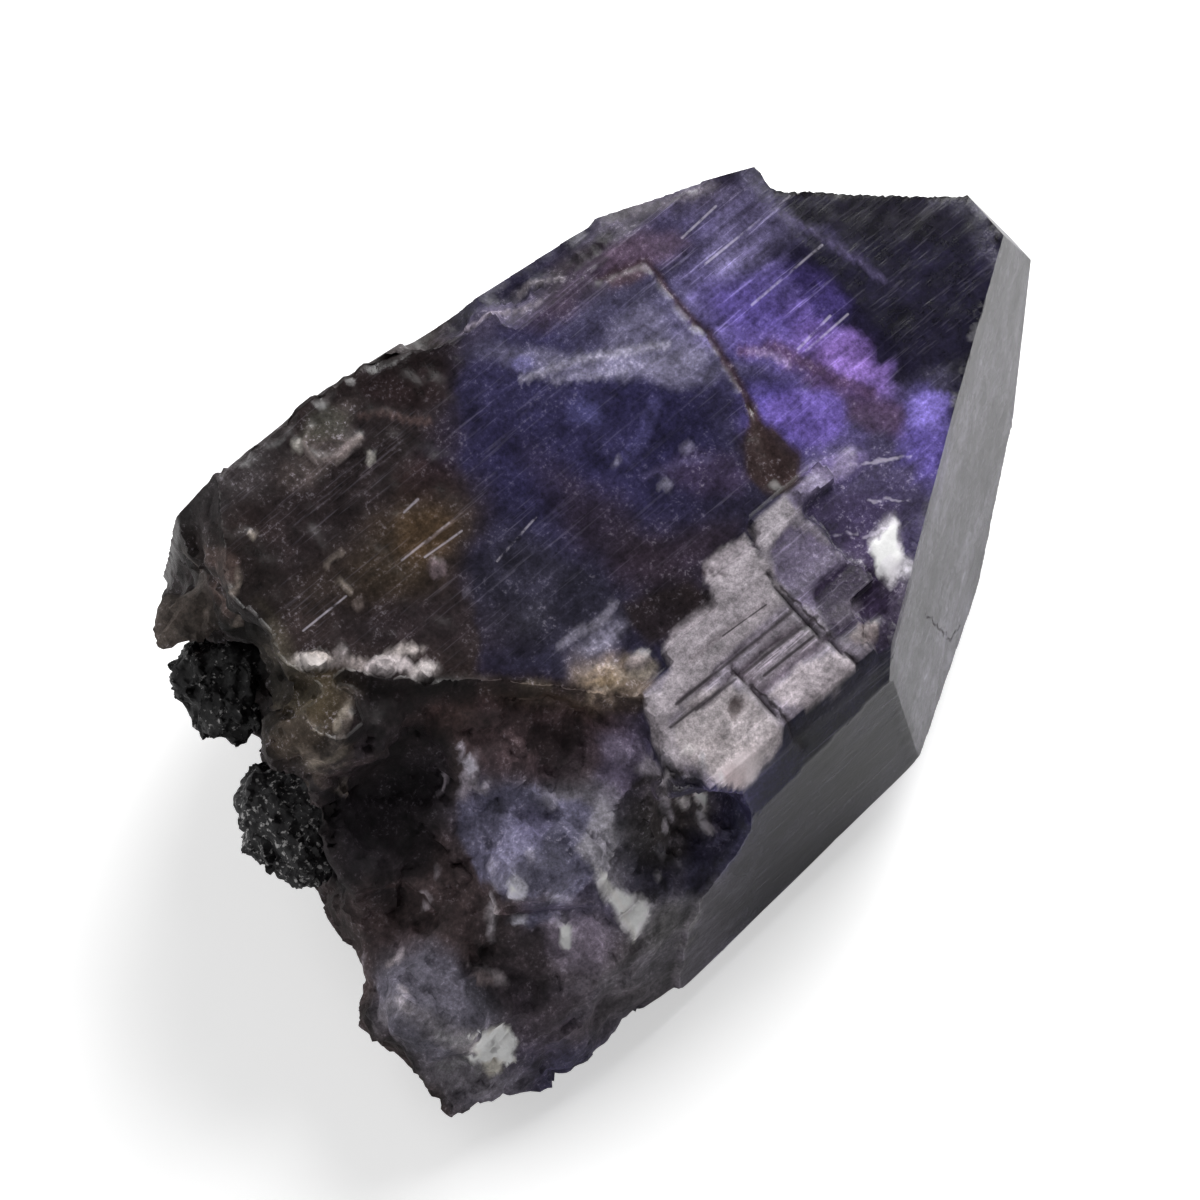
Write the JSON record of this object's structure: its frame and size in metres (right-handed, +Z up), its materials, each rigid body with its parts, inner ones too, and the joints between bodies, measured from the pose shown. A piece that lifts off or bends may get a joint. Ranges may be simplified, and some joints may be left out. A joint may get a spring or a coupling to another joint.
{
  "type": "rough tanzanite",
  "caption": "Rough, uncut tanzanite crystal with flat striated prism faces and a broken end that keeps patches of black graphite crust.",
  "frame": {"origin": "middle of the bounding box, at the level of the small flat spot the stone rests on", "axes": "+X along the striations towards the flat end faces, +Y towards the high back edge, +Z up from the resting spot"},
  "size_m": [0.0266, 0.0164, 0.0113],
  "materials": {
    "tanzanite": "vitreous flat faces, dull to waxy breaks, violet blue turning brown at the broken end",
    "graphite": "black granular crust with sparkling flakes"
  },
  "bodies": {
    "root": {"tanzanite_crystal": "tanzanite", "graphite_crust_upper": "graphite", "graphite_crust_lower": "graphite"}
  },
  "joints": []
}
